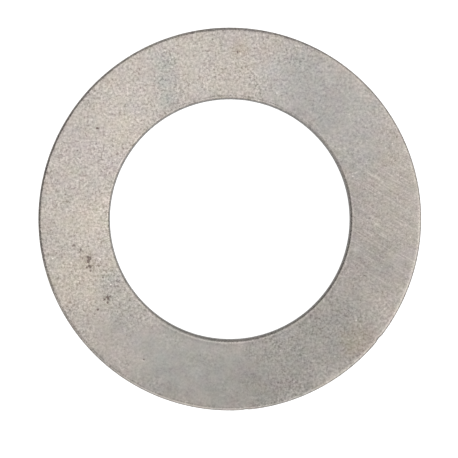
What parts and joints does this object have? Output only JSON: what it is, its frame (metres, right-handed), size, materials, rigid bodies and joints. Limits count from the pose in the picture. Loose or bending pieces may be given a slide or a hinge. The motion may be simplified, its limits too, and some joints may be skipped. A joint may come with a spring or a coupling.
{
  "type": "shim ring",
  "caption": "Flat steel shim ring that sets the axial gap between parts on a shaft inside a housing bore.",
  "frame": {"origin": "centre of the bore, on the lower flat face", "axes": "+Z along the ring's axis, up out of the face with the rolled-over edges; X and Y lie in the lower face"},
  "size_m": [0.016, 0.016, 0.001],
  "materials": {
    "steel": "tumbled satin steel with fine scratches, rounded upper edges and small brown pits"
  },
  "bodies": {
    "root": {"shim_ring": "steel"}
  },
  "joints": []
}
